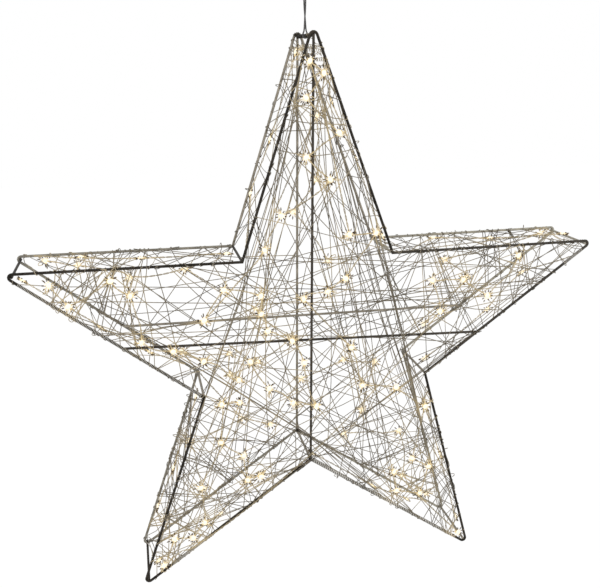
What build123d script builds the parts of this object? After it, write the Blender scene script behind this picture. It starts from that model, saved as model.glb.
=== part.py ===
from build123d import *
import math
import os

# Wire-wound LED star of bent iron rod, hung on a thin doubled cord.
# Millimetres. The front faces -Y and +Z is up. The origin is the point inside the hanging loop
# where a hook bears.

# Star outline, measured on the rods' centre lines
POINTS = 5
STAR_RADIUS = 305.0
NOTCH_RADIUS = 120.0
STAR_DEPTH = 71.0

# The frame is bent by hand, so each corner lies a little off its true place.
# Right and up, as shares of STAR_RADIUS, clockwise from the top.
OUT_OF_TRUE_SHARES = [
    (0.0, 0.010),
    (0.025, -0.010),
    (0.015, 0.0),
    (0.005, 0.005),
    (-0.025, 0.005),
    (-0.020, 0.0),
    (-0.015, 0.010),
    (0.005, -0.010),
    (0.010, 0.005),
    (0.0, -0.010),
]

# Rods
ROD_DIAMETER = 2.7
BAR_DIAMETER = 2.5
STRUT_DIAMETER = 2.5
WELD_DEPTH = 0.1
TIP_BEND = 3.0
TOP_BEND = 3.5
BEND_STEPS = 5
ROD_SIDES = 12

# Where the ends of each crossbar lie, as shares of the left and right lower rods from the tip
FRONT_CROSSBAR_SHARES = (0.585, 0.695)
BACK_CROSSBAR_SHARES = (0.580, 0.630)

# Wire winding, one flat net for each face of the frame
WIRE_DIAMETER = 0.5
STRAND_WIDTH = 0.7
POINT_RUNS = 10
MIDDLE_RUNS = 14
BACK_MIDDLE_RUNS = 12
WALL_RUNS = 7
RUN_SLANT_SHARE = 0.27
GOLDEN_SHARE = 0.618
SMALLEST_GAP = 1.2
NOTCH_CLEARANCE = 0.25
# The winding beside the top strut starts this much lower, so that the cord can swing past it
CORD_ROOM = 6.0

# Micro lights, clear drops on the winding
LIGHT_WIDTH = 4.0
LIGHT_HEIGHT = 2.0
LIGHT_TAPER = 18.0
LIGHT_SIDES = 5

# Lights of each point: along it from its base to its tip, and across it from -1 to 1 clockwise
POINT_LIGHT_SHARES = {
    "top": [(0.85, -0.4), (0.8, 0.55), (0.7, -0.4), (0.55, 0.65), (0.45, -0.25),
            (0.35, 0.25), (0.2, -0.6), (0.1, 0.45), (0.1, 0.85), (0.05, -0.75)],
    "right": [(0.6, -0.6), (0.4, 0.3), (0.3, -0.3), (0.15, -0.45), (0.15, 0.15)],
    "bottom_right": [(0.9, 0.0), (0.55, 0.2), (0.45, -0.45), (0.45, 0.6), (0.35, 0.3),
                     (0.35, -0.2), (0.15, -0.85)],
    "bottom_left": [(0.85, -0.35), (0.7, 0.2), (0.65, -0.5), (0.55, -0.4), (0.4, 0.35),
                    (0.25, -0.45), (0.2, -0.6), (0.15, 0.45), (0.15, -0.05)],
    "left": [(0.8, 0.15), (0.7, -0.6), (0.55, 0.65), (0.45, 0.3), (0.35, -0.65),
             (0.2, -0.55), (0.1, 0.1), (0.05, -0.5), (0.05, 0.6)],
}
# Lights of the middle, right and up from the centre, as shares of NOTCH_RADIUS
MIDDLE_LIGHT_SHARES = [
    (-0.2, -0.45), (-0.4, -0.3), (0.3, 0.0), (0.0, -0.5), (-0.1, 0.45), (0.7, -0.4),
    (-0.2, 0.1), (0.4, -0.35), (0.1, 0.5), (-0.65, -0.4), (-0.45, 0.35), (-0.65, -0.2),
    (-0.45, 0.5), (0.25, 0.6), (-0.8, -0.4), (-0.1, -0.1), (-0.55, -0.05), (-0.4, 0.2),
]
# Lights of a side wall: which of its runs of wire each sits on, and how far along that run
WALL_LIGHT_SHARES = [(0.15, 0.35), (0.5, 0.6), (0.9, 0.4)]

# Hanging cord, doubled round the top strut and twisted half a turn
CORD_DIAMETER = 1.4
CORD_SIDES = 6
STRAND_SPACING = 1.7
STRUT_CLEARANCE = 0.15
LOOP_SPREAD = 2.2
PARTING_HEIGHT = 7.0
TWIST_LENGTH = 27.0
TWIST_STEPS = 3
STRAIGHT_END = 3.0
FILLET_SHARE = 0.45

# Knot and hanging loop, just above the photograph
KNOT_RADIUS = 2.8
KNOT_HEIGHT = 4.0
KNOT_EDGE = 1.2
HANGING_LOOP_WIDTH = 11.0
HANGING_LOOP_STEM = 2.0
HANGING_LOOP_FLARE = 8.0
HANGING_LOOP_SIDE = 9.0

# Names of the corners, clockwise from the top
CORNERS = [
    "top", "upper_right", "right", "lower_right", "bottom_right",
    "bottom", "bottom_left", "lower_left", "left", "upper_left",
]
TIPS = CORNERS[::2]

ROD_RADIUS = ROD_DIAMETER / 2
BAR_RADIUS = BAR_DIAMETER / 2
STRUT_RADIUS = STRUT_DIAMETER / 2
# A strut sits inside the bend of its tip, welded under the rod
STRUT_SEAT = ROD_RADIUS + STRUT_RADIUS - WELD_DEPTH
CORD_RADIUS = CORD_DIAMETER / 2
HALF_DEPTH = STAR_DEPTH / 2
HALF_STRAND = STRAND_WIDTH / 2
FULL_TURN = 2 * math.pi


# Plane geometry, points as (right, up)
def plus(p, q, share=1.0):
    return (p[0] + share * q[0], p[1] + share * q[1])


def minus(p, q):
    return (p[0] - q[0], p[1] - q[1])


def dot(p, q):
    return p[0] * q[0] + p[1] * q[1]


def unit(p):
    return (p[0] / math.hypot(*p), p[1] / math.hypot(*p))


def true_corner(index):
    reach = NOTCH_RADIUS if index % 2 else STAR_RADIUS
    turn = FULL_TURN * (1 / 4 - index / len(CORNERS))
    off = OUT_OF_TRUE_SHARES[index]
    return plus((reach * math.cos(turn), reach * math.sin(turn)), off, STAR_RADIUS)


def bend_of(index):
    return TOP_BEND if index == 0 else TIP_BEND


def tip_shape(corner, index):
    """Inward direction, distance to the top of the bend and distance to its ends, at a tip."""
    here = corner(index)
    sides = [unit(minus(corner(index + step), here)) for step in (-1, 1)]
    inward = unit(plus(sides[0], sides[1]))
    half_angle = math.acos(dot(inward, sides[0]))
    bend = bend_of(index)
    return inward, bend / math.sin(half_angle) - bend, bend / math.tan(half_angle)


# The strut that the cord holds lies under the origin, and the star takes its place from it
CORD_ARC = STRUT_RADIUS + STRUT_CLEARANCE + CORD_RADIUS
HANGING_LOOP_HEIGHT = HANGING_LOOP_STEM + HANGING_LOOP_FLARE + HANGING_LOOP_SIDE
KNOT_TOP = CORD_RADIUS - HANGING_LOOP_HEIGHT
KNOT_BOTTOM = KNOT_TOP - KNOT_HEIGHT
STRUT_Z = KNOT_BOTTOM - STRAIGHT_END - TWIST_LENGTH - PARTING_HEIGHT


def unplaced_corner(index):
    return true_corner(index % len(CORNERS))


TOP_INWARD, TOP_DROP, _ = tip_shape(unplaced_corner, 0)
TOP_STRUT = plus(unplaced_corner(0), TOP_INWARD, TOP_DROP + STRUT_SEAT)
CENTRE = minus((0.0, STRUT_Z), TOP_STRUT)


def corner(index):
    return plus(unplaced_corner(index), CENTRE)


def strut_place(index):
    if index % 2:
        return corner(index)
    inward, drop, _ = tip_shape(corner, index)
    return plus(corner(index), inward, drop + STRUT_SEAT)


# Solids
def at(p, y):
    return Vector(p[0], y, p[1])


def flat_vector(p):
    return Vector(p[0], 0, p[1])


def largest(shape):
    return max(shape.solids(), key=lambda solid: solid.volume)


def rod_section(start, end, diameter, x_dir):
    """A rod's many-sided section at its start, with one corner of it towards x_dir."""
    return Plane(origin=start, x_dir=x_dir, z_dir=end - start) * RegularPolygon(diameter / 2, ROD_SIDES)


def straight_rod(start, end, diameter, x_dir=(0, 1, 0)):
    return extrude(rod_section(start, end, diameter, x_dir), amount=(end - start).length)


def tube(path, diameter):
    """A cord of a six-sided section along a path."""
    section = RegularPolygon(diameter / 2, CORD_SIDES)
    return sweep(Plane(origin=path @ 0, z_dir=path % 0) * section, path=path)


def point_rod(index, y):
    """One point of a star: two straight legs and a bent tip, mitred at the notches."""
    tip = corner(index)
    inward, _, bend_length = tip_shape(corner, index)
    across = (-inward[1], inward[0])
    bend = bend_of(index)
    bend_centre = plus(tip, inward, math.hypot(bend, bend_length))
    first, last = [plus(corner(index + step), unit(minus(corner(index + step), tip)), ROD_DIAMETER)
                   for step in (-1, 1)]
    reach = math.copysign(math.atan2(bend_length, bend), dot(across, minus(first, tip)))
    route = [first]
    for k in range(BEND_STEPS + 1):
        turn = reach * (1 - 2 * k / BEND_STEPS)
        outward = plus(minus((0, 0), inward), across, math.tan(turn))
        route.append(plus(bend_centre, unit(outward), bend))
    route.append(last)
    points = [at(p, y) for p in route]
    section = rod_section(points[0], points[1], ROD_DIAMETER, (0, 1, 0))
    rod = sweep(section, path=Polyline(*points), transition=Transition.RIGHT)
    for step in (-1, 1):
        notch = corner(index + step)
        this_way = unit(minus(tip, notch))
        other_way = unit(minus(corner(index + 2 * step), notch))
        mitre = Plane(origin=at(notch, y), z_dir=flat_vector(minus(this_way, other_way)))
        rod = split(rod, bisect_by=mitre, keep=Keep.TOP)
    return largest(rod)


def strut(index, rods):
    """Between a front and a back corner. The top one is truly round, as the cord bears on it."""
    place = strut_place(index)
    start, end = at(place, -HALF_DEPTH), at(place, HALF_DEPTH)
    if index == 0:
        bar = extrude(Plane(origin=start, z_dir=end - start) * Circle(STRUT_RADIUS), amount=STAR_DEPTH)
    else:
        bar = straight_rod(start, end, STRUT_DIAMETER, (1, 0, 0))
    return largest(bar - rods)


def upright(side, cutters):
    """From the top to the bottom notch, flush with the inner side of the rods."""
    y = side * (HALF_DEPTH - (ROD_RADIUS - BAR_RADIUS))
    bar = straight_rod(at(strut_place(0), y), at(corner(CORNERS.index("bottom")), y), BAR_DIAMETER)
    return largest(bar - cutters)


def crossbar(side, shares):
    """Across the inner side of the rods and the upright, ending over the lower rods."""
    y = side * (HALF_DEPTH - ROD_RADIUS - BAR_RADIUS)
    left_rod = (CORNERS.index("left"), -1)
    right_rod = (CORNERS.index("right"), 1)
    ends = []
    for (tip, step), share in zip((left_rod, right_rod), shares):
        ends.append(plus(corner(tip), minus(corner(tip + step), corner(tip)), share))
    past = unit(minus(ends[1], ends[0]))
    bar = straight_rod(at(plus(ends[0], past, -ROD_DIAMETER), y),
                       at(plus(ends[1], past, ROD_DIAMETER), y), BAR_DIAMETER)
    for (tip, step), end in zip((left_rod, right_rod), ends):
        along = unit(minus(corner(tip + step), corner(tip)))
        across = (-along[1], along[0])
        inward = across if dot(across, minus(CENTRE, end)) > 0 else minus((0, 0), across)
        bar = split(bar, bisect_by=Plane(origin=at(end, y), z_dir=flat_vector(inward)),
                    keep=Keep.TOP)
    return largest(bar)


# Nets: the runs of wire cut a face into convex gaps
def clipped(outline, base, inward):
    """The part of a convex outline on the inward side of the line through base."""
    kept = []
    for here, there in zip(outline, outline[1:] + outline[:1]):
        a = dot(minus(here, base), inward)
        b = dot(minus(there, base), inward)
        if a >= 0:
            kept.append(here)
        if (a > 0 > b) or (a < 0 < b):
            kept.append(plus(here, minus(there, here), a / (a - b)))
    return kept


def shrunk(outline, distance):
    """A convex outline with every side moved inward, empty where nothing is left."""
    middle = (sum(p[0] for p in outline) / len(outline), sum(p[1] for p in outline) / len(outline))
    result = outline
    for here, there in zip(outline, outline[1:] + outline[:1]):
        along = unit(minus(there, here))
        inward = (-along[1], along[0])
        if dot(inward, minus(middle, here)) < 0:
            inward = minus((0, 0), inward)
        result = clipped(result, plus(here, inward, distance), inward)
        if len(result) < 3:
            return []
    return result


def without_short_sides(outline):
    return [p for p, before in zip(outline, outline[-1:] + outline[:-1])
            if math.hypot(*minus(p, before)) > HALF_STRAND / 2]


def width_of(outline):
    """Smallest width of a convex outline."""
    widths = []
    for here, there in zip(outline, outline[1:] + outline[:1]):
        along = unit(minus(there, here))
        widths.append(max(abs(dot(minus(p, here), (-along[1], along[0]))) for p in outline))
    return min(widths)


def gaps(outline, runs):
    """Gaps that straight runs of wire, each given by two points, leave in a convex outline."""
    cells = [shrunk(outline, HALF_STRAND)]
    for start, end in runs:
        along = unit(minus(end, start))
        across = (-along[1], along[0])
        halves = []
        for cell in cells:
            halves.append(clipped(cell, start, across))
            halves.append(clipped(cell, start, minus((0, 0), across)))
        cells = [half for half in halves if len(half) > 2]
    result = []
    for cell in cells:
        cell = without_short_sides(cell)
        gap = shrunk(cell, HALF_STRAND) if len(cell) > 2 else []
        gap = without_short_sides(gap) if gap else []
        if len(gap) > 2 and width_of(gap) > SMALLEST_GAP:
            result.append(gap)
    return result


def net(outline, runs, place, outward):
    """One holed face, one wire thick. place puts a flat point on the net's inner side."""
    holes = gaps(outline, runs)
    wires = [Wire.make_polygon([place(p) for p in ring], close=True) for ring in [outline] + holes]
    return Solid.extrude(Face(wires[0], wires[1:]), outward * WIRE_DIAMETER), len(holes)


def outline_point(outline, share):
    """The point at a share of the way along an outline's corners."""
    step = share * len(outline)
    first = int(step) % len(outline)
    here, there = outline[first], outline[(first + 1) % len(outline)]
    return plus(here, minus(there, here), step - int(step))


def runs_through(places, outline, count):
    """Straight runs through every pair of lights, then from the lights to scattered edge points."""
    runs = list(zip(places[::2], places[1::2] + places[:1]))
    for k in range(len(runs), count):
        share = (k * GOLDEN_SHARE) % 1
        runs.append((places[k % len(places)], outline_point(outline, share)))
    return runs


def light_drop():
    """A five-sided drop of clear resin on its flat base."""
    base = RegularPolygon(LIGHT_WIDTH / 2, LIGHT_SIDES)
    return extrude(base, amount=LIGHT_HEIGHT, taper=LIGHT_TAPER)


DROP = light_drop()


def lights(places, place, outward):
    """Drops seated on the outer side of a net."""
    return [Plane(origin=place(p) + outward * WIRE_DIAMETER, z_dir=outward) * DROP for p in places]


# A net touches the rods beside it and the upright under it
NET_LIFT = BAR_RADIUS - (ROD_RADIUS - BAR_RADIUS)


def half_width_at(lift):
    """Half width of a rod's many-sided section at a height above its centre line."""
    step = FULL_TURN / ROD_SIDES
    turn = step * math.floor(math.acos(lift / ROD_RADIUS) / step)
    upper, lower = [(ROD_RADIUS * math.sin(a), ROD_RADIUS * math.cos(a)) for a in (turn, turn + step)]
    share = (upper[1] - lift) / (upper[1] - lower[1])
    return upper[0] + share * (lower[0] - upper[0])


NET_EDGE = half_width_at(NET_LIFT)


def face_place(side):
    return lambda p: at(p, side * (HALF_DEPTH + NET_LIFT))


def point_outline(index):
    """A point's inside, cut off where the bend of its tip begins."""
    tip = corner(index)
    notches = [corner(index - 1), corner(index + 1)]
    inward, _, bend_length = tip_shape(corner, index)
    outline = [notches[0], tip, notches[1]]
    for notch in notches:
        along = unit(minus(notch, tip))
        across = (-along[1], along[0])
        inside = across if dot(across, inward) > 0 else minus((0, 0), across)
        outline = clipped(outline, plus(tip, inside, NET_EDGE), inside)
    return clipped(outline, plus(tip, inward, bend_length), inward)


def middle_outline():
    """The pentagon between the notches, with its corners cut off at the rods."""
    outline = [corner(i) for i in range(1, len(CORNERS), 2)]
    for notch in list(outline):
        inward = unit(minus(CENTRE, notch))
        outline = clipped(outline, plus(notch, inward, NET_EDGE + NOTCH_CLEARANCE), inward)
    return outline


def point_light_places(index, shares):
    a, tip, b = corner(index - 1), corner(index), corner(index + 1)
    places = []
    for along, across in shares:
        start = plus(a, minus(tip, a), along)
        places.append(plus(start, minus(b, a), (1 - along) * (1 + across) / 2))
    return places


def middle_light_places(shares):
    return [plus(CENTRE, share, NOTCH_RADIUS) for share in shares]


def mirrored(shares):
    return [(first, -second) for first, second in shares]


def wall(index):
    """Net and lights of one side wall, between two corners and outside the rods' centre plane."""
    here, there = corner(index), corner(index + 1)
    along = unit(minus(there, here))
    outward = (-along[1], along[0])
    length = math.hypot(*minus(there, here))
    starts = [STRUT_RADIUS, STRUT_RADIUS]
    tip_end = index % 2
    tip = (index + tip_end) % len(CORNERS)
    starts[tip_end] = tip_shape(corner, tip)[2] + (CORD_ROOM if tip == 0 else 0)
    low, high = starts[0], length - starts[1]
    edge = HALF_DEPTH - NET_EDGE
    outline = [(low, -edge), (high, -edge), (high, edge), (low, edge)]
    runs = []
    for k in range(WALL_RUNS):
        side = 1 if k % 2 else -1
        reach = 2 if k % 3 else 1
        first = (k + RUN_SLANT_SHARE) / WALL_RUNS
        last = first + reach / WALL_RUNS if k % 4 else first - reach / WALL_RUNS
        runs.append(((low + first * (high - low), side * edge),
                     (low + last * (high - low), -side * edge)))
    places = []
    for which, share in WALL_LIGHT_SHARES:
        start, end = runs[int(which * WALL_RUNS)]
        places.append(plus(start, minus(end, start), share))

    def place(p):
        return at(plus(plus(here, along, p[0]), outward, NET_LIFT), p[1])

    facing = flat_vector(outward)
    web, count = net(outline, runs, place, facing)
    return web, count, lights(places, place, facing)


# Hanging cord
def strand_route():
    """Points of one strand of the doubled cord, from the knot down to the strut's level."""
    half = STRAND_SPACING / 2
    points = [Vector(-half, 0, KNOT_BOTTOM)]
    for k in range(TWIST_STEPS + 1):
        turn = math.pi * (1 - k / TWIST_STEPS)
        z = KNOT_BOTTOM - STRAIGHT_END - TWIST_LENGTH * k / TWIST_STEPS
        points.append(Vector(half * math.cos(turn), half * math.sin(turn), z))
    points.append(Vector(CORD_ARC, 0, STRUT_Z + LOOP_SPREAD))
    points.append(Vector(CORD_ARC, 0, STRUT_Z))
    return points


def fillet_radii(points):
    """The largest radius that each inner point's two runs leave room for."""
    radii = []
    for before, here, after in zip(points, points[1:], points[2:]):
        shorter = min((here - before).length, (after - here).length)
        half_turn = math.radians((here - before).get_angle(after - here)) / 2
        radii.append(FILLET_SHARE * shorter / math.tan(half_turn))
    return radii


def hanging_cord():
    """One strand down to the strut's level, half a circle under it, and the other strand up."""
    points = strand_route()
    radii = fillet_radii(points)
    down = FilletPolyline(*points, radius=radii)
    under = CenterArc((0, 0, 0), CORD_ARC, 0, -180)
    under = Plane(origin=(0, 0, STRUT_Z), x_dir=(1, 0, 0), z_dir=(0, -1, 0)) * under
    up = FilletPolyline(*[Vector(-p.X, -p.Y, p.Z) for p in reversed(points)], radius=radii[::-1])
    path = Wire([*down.edges(), *under.edges(), *up.edges()])
    return tube(path, CORD_DIAMETER), path.length, radii


def cord_knot():
    drum = Cylinder(KNOT_RADIUS, KNOT_HEIGHT)
    drum = chamfer(drum.edges().filter_by(GeomType.CIRCLE), KNOT_EDGE)
    return Pos(0, 0, (KNOT_TOP + KNOT_BOTTOM) / 2) * drum


def hanging_loop():
    half = HANGING_LOOP_WIDTH / 2
    stem = STRAND_SPACING / 2
    rise = KNOT_TOP + HANGING_LOOP_STEM
    shoulder = rise + HANGING_LOOP_FLARE
    crown = shoulder + HANGING_LOOP_SIDE
    right = [Vector(stem, 0, KNOT_TOP), Vector(stem, 0, rise),
             Vector(half, 0, shoulder), Vector(half, 0, crown)]
    points = right + [Vector(-p.X, 0, p.Z) for p in reversed(right)]
    radii = fillet_radii(points)
    return tube(FilletPolyline(*points, radius=radii), CORD_DIAMETER), radii


# Parts
nodes = {}
for side, face in ((-1, "front"), (1, "back")):
    for index in range(0, len(CORNERS), 2):
        nodes[f"{face}_point_{CORNERS[index]}"] = point_rod(index, side * HALF_DEPTH)

outline_rods = list(nodes.values())
for index, name in enumerate(CORNERS):
    nodes[f"strut_{name}"] = strut(index, outline_rods)

frame_solids = list(nodes.values())
for side, face, shares in ((-1, "front", FRONT_CROSSBAR_SHARES), (1, "back", BACK_CROSSBAR_SHARES)):
    nodes[f"{face}_upright"] = upright(side, frame_solids)
    nodes[f"{face}_crossbar"] = crossbar(side, shares)

gap_counts = {}
for side, face, middle_runs in ((-1, "front", MIDDLE_RUNS), (1, "back", BACK_MIDDLE_RUNS)):
    place = face_place(side)
    facing = Vector(0, side, 0)
    drops = []
    for number, name in enumerate(TIPS):
        index = 2 * number
        shares = POINT_LIGHT_SHARES[name]
        if face == "back":
            neighbour = TIPS[(number + 1) % POINTS]
            shares = mirrored(POINT_LIGHT_SHARES[neighbour])[::2]
        places = point_light_places(index, shares)
        outline = point_outline(index)
        web, count = net(outline, runs_through(places, outline, POINT_RUNS), place, facing)
        nodes[f"{face}_winding_{name}"] = web
        gap_counts[f"{face} {name}"] = count
        drops += lights(places, place, facing)
    shares = MIDDLE_LIGHT_SHARES if face == "front" else MIDDLE_LIGHT_SHARES[1::2]
    places = middle_light_places(shares)
    outline = middle_outline()
    web, count = net(outline, runs_through(places, outline, middle_runs), place, facing)
    nodes[f"{face}_winding_middle"] = web
    gap_counts[f"{face} middle"] = count
    drops += lights(places, place, facing)
    nodes[f"{face}_lights"] = Compound(children=[largest(drop) for drop in drops])

side_drops = []
for index, name in enumerate(CORNERS):
    web, count, drops = wall(index)
    nodes[f"side_winding_{name}_to_{CORNERS[(index + 1) % len(CORNERS)]}"] = web
    gap_counts[f"wall {name}"] = count
    side_drops += drops
nodes["side_lights"] = Compound(children=[largest(drop) for drop in side_drops])

nodes["hanging_cord"], cord_length, cord_radii = hanging_cord()
nodes["cord_knot"] = cord_knot()
nodes["hanging_loop"], loop_radii = hanging_loop()

os.makedirs("parts", exist_ok=True)
for name, shape in nodes.items():
    export_step(shape, f"parts/{name}.step")

print("nodes", len(nodes))
print("gaps", gap_counts, "in all", sum(gap_counts.values()))
print("lights", {name: len(nodes[name].solids()) for name in nodes if name.endswith("lights")})
print("cord length", round(cord_length, 2), "radii", [round(r, 2) for r in cord_radii])
print("hanging loop radii", [round(r, 2) for r in loop_radii])
print("star centre", [round(c, 2) for c in CENTRE], "strut at", round(STRUT_Z, 2))
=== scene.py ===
import math
import random

import bmesh
import bpy
from mathutils import Matrix, Vector, kdtree


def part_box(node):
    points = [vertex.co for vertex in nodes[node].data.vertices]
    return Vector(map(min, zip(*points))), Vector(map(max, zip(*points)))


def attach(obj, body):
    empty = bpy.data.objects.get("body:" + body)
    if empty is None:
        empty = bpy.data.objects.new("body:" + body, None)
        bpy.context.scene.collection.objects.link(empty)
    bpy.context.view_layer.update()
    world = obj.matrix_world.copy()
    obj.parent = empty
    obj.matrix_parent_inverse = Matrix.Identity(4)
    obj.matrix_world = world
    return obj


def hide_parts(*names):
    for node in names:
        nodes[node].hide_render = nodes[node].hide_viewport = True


MM = 0.001

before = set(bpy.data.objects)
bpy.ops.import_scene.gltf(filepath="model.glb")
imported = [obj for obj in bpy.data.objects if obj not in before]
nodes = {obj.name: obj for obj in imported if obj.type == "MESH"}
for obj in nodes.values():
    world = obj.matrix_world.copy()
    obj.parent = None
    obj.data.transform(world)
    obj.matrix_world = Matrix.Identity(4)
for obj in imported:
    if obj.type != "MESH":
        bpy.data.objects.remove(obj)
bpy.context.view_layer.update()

# The camera of the photograph, measured on the star's corners
CAMERA_PLACE = Vector((-166.50, -768.43, -80.33)) * MM
CAMERA_TURN = (73.713, 0.705, -11.858)
CAMERA_LENS = 48.21
SENSOR_WIDTH = 36.0
NEAR_CLIP = 0.01

# Wire thicknesses, millimetres, and how round it is: 0 gives it four sides
WINDING_WIRE = 0.82
LEAD_WIRE = 0.7
WRAP_WIRE = 1.0
SLACK_WIRE = 0.55
BINDING_WIRE = 0.7
ROD_WINDING_WIRE = 0.5
LUMP_WIRE = 1.2
WIRE_ROUNDNESS = 0

# Bends and welds of the frame, millimetres, as its boxes don't give them
TOP_BEND = 3.5
TIP_BEND = 3.0
WELD_DEPTH = 0.1
# Corners of a light's mesh that are closer than this are one corner, millimetres
SEAM = 0.01

# How much wire: millimetres of it on each square millimetre, and the share kept for the points
FACE_WIRE_PER_AREA = 0.272
WALL_WIRE_PER_AREA = 0.118
TIP_WIRE_SHARE = 0.17
# How much of each point's rods stays bare at the tip of a face
BARE_SHARE = {"left": 0.17, "bottom_left": 0.07, "bottom_right": 0.07}
# How the extra wire in the points is shared out, and the side walls with less wire than the rest
TIP_WEIGHTS = {"top": 0.3, "right": 0.9, "bottom_right": 0.6, "bottom_left": 3.0, "left": 0.9}
THIN_WALLS = {"top": 0.55, "upper_right": 0.75, "right": 0.5, "bottom_right": 0.6,
              "lower_left": 0.55, "upper_left": 0.6}
# A part of the left point where the wire lies thin, millimetres right and up, and the cells there,
# which count as wound already
THIN_PLACE = (-142.0, -290.0)
THIN_REACH = 36.0
THIN_WEIGHT = 5
THIN_COLUMNS = range(-12, 0)
THIN_ROWS = range(-20, 0)
CELL_SIZE = 22.0

# How a run lies: its turns over or under the rods, and how often it is wound again close by
STEP_LENGTH = 6.0
FEWEST_STEPS = 3
BEHIND_SHARE = 0.65
LONG_SWEEP_SHARE = 0.25
LONG_SWEEP = 2.6
FACE_SWEEP = 0.6
WALL_SWEEP = 0.7
REPEAT_SHARE = 0.2
REPEATS = (2, 3)
REPEAT_SCATTER = 0.025
PLACES_TRIED = 3
SLACK_TRIED = (1.0, 0.7, 0.5, 0.3, 0.1)
# Its ends: the shares of a rod that it may meet, the draw that brings them near a tip (the two
# values of a beta distribution), and how they scatter
FIRST_SHARE = 0.01
LAST_SHARE = 0.99
CORD_SHARE = 0.05
TIP_PULL = (1.1, 2.2)
TIP_SCATTER = 0.13
WALL_SCATTER = 0.28
SHORTEST_RUN = 12
RUN_TESTS = 14
LEAD_TESTS = 10
# Its kinks: one more may come for each such length, aside and up in millimetres, and its bow
KINK_LENGTH = 90
KINK_SHARES = (0.06, 0.94)
KINK_ASIDE = 1.5
KINK_RISE = 0.3
BOW_SHARE = 0.024
# Its turn round a rod, millimetres
HOOK_STEPS = 5
HOOK_PLAY = 0.25
HOOK_PITCH = (0.3, 0.8)
LOOSE_SHARE = 0.16
LOOSE_REACH = (0.8, 3.6)

# How far the painted light of a bead reaches on the wire, millimetres, and the share of its wider
# part
GLOW_REACH = 4.2
WIDE_LIGHT_REACH = 15.0
WIDE_LIGHT_SHARE = 0.36
# No wire lies further to the front or back than this, millimetres
OUTERMOST = 39.0

# Leads, millimetres: how tightly a pair is twisted, and how deep it lies under the lights
LEAD_PITCH = 14.0
LEAD_SPACING = 1.2
LEAD_STEPS = 4
LEAD_DROP = 0.6
# Decimals to which distances between lights are compared
DISTANCE_DIGITS = 2
WALL_MARGIN = 0.05
WALL_LEAD_STARTS = (0.04, 0.1)

# Slack loops at the lights, millimetres and radians
CURLS_AT_LIGHT = 2
CURL_OUT = (2.5, 5.5)
CURL_LONG = (0.8, 2.4)
CURL_NARROW = (0.4, 1.2)
CURL_SWEEP = (3.4, 6.8)
CURL_STEPS = 8
CURL_DROP = 0.5
CURL_RISE = 0.12

# Leads crumpled under the top, millimetres and radians
TOP_CLEARANCE = 9.5
CRUMPLES = 7
CRUMPLE_SPACING = 0.7
CRUMPLE_SCATTER = 3
CRUMPLE_STEP = 0.9
CRUMPLE_START = 1.2
CRUMPLE_SPIN = (0.4, 1.1)
CRUMPLE_REACH = (0.5, 2.6)
CRUMPLE_DRIFT = 0.3
CRUMPLE_LIFT = 0.2
CRUMPLE_FADE = 8

# Painted glare round a light, made as a star of wrapped lead ends: millimetres and radians
WRAP_WAYS = (9, 14)
WRAP_SCATTER = 0.15
WRAP_START = (3.0, 5.4)
WRAP_LENGTH = (1.0, 3.0)
WRAP_RADIUS = (0.2, 0.45)
WRAP_PITCH = (1.0, 1.5)
WRAP_STEPS = 4
WRAP_TAPER = 0.4
WRAP_DROP = 0.4
GLARE_SPOKE_START = 0.5
GLARE_SPOKE_PAST = 0.7

# Lights, millimetres
BEAD_LENGTH = 6.0
BEAD_WIDTH = 4.8
BEAD_HEIGHT = 2.4
BEAD_SIZES = (0.88, 1.08)
BEAD_SEGMENTS = 8
BEAD_RINGS = 6

# Bindings: turns, and where they lie on the struts, millimetres
TURN_STEPS = 8
CROWN_FIRST_ANGLE = 26
CROWN_SWEEP = 128
CROWN_STEPS = 6
CROWN_TURNS = 9
TOP_BINDING_START = 4.2
TOP_BINDING_TURNS = 24
BOTTOM_BINDING_LENGTH = 7.5
BOTTOM_BINDING_TURNS = 7
BINDING_END = 2.0
# Bindings on the rod beside the bottom corner: the shares of the rod, and turns
LUMP_SHARES = (0.04, 0.09)
LUMP_TURNS = 7
NOTCH_LEAD_SHARES = (0.004, 0.034)
NOTCH_LEAD_TURNS = 5
# Front rods that wire goes round and round along: corner, shares, pitch and wires side by side
WOUND_STRETCHES = [(4, 0.05, 0.99, 2.4, 3), (5, 0.62, 0.86, 1.1, 1), (7, 0.02, 0.97, 1.4, 1),
                   (2, 0.03, 0.14, 1.1, 1)]
# Loops that stand out from front rods: corner and share, and their sizes in millimetres
ROD_CURL_PLACES = [(4, 0.83), (4, 0.60), (4, 0.48), (4, 0.44), (7, 0.77), (7, 0.70), (7, 0.58)]
ROD_CURL_HEIGHT = (2.2, 3.6)
ROD_CURL_WIDTH = (2.5, 5.0)
ROD_CURL_LEAN = (-2.0, 2.0)

# Cord and loop, millimetres
CORD_DIAMETER = 1.4
CORD_ROUNDNESS = 2
CORD_SMOOTHNESS = 8
HALF_SPACING = 0.85
CORD_ARC = 2.1
STRUT_Z = -59.3
KNOT_BOTTOM = -22.3
KNOT_TOP = -18.3
STRAIGHT_END = 3
TWIST_LENGTH = 30
TWIST_STEPS = 3
SPREAD_HEIGHT = 2.2
TOP_LOOP_HALF_WIDTH = 5.5
TOP_LOOP_RISES = (2, 10, 19)
# Knot: the cord round itself, millimetres
KNOT_WIRE = 1.36
KNOT_ROUNDNESS = 1
KNOT_STEPS = 40
KNOT_TURNS = 2.6
KNOT_REACH = 2.05
KNOT_TAPER = 0.75
KNOT_EDGE = 0.7

# Seeds of the random draws
FACE_SEED = 21
WALL_SEED = 31
STRING_SEED = 51
SIDE_STRING_SEED = 53
SLACK_SEED = 61
BEAD_SEED = 71
WRAP_SEED = 91
CURL_SEED = 111

CORNERS = ["top", "upper_right", "right", "lower_right", "bottom_right",
           "bottom", "bottom_left", "lower_left", "left", "upper_left"]
BOTTOM = CORNERS.index("bottom")
FACES = (("front", -1), ("back", 1))


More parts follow.
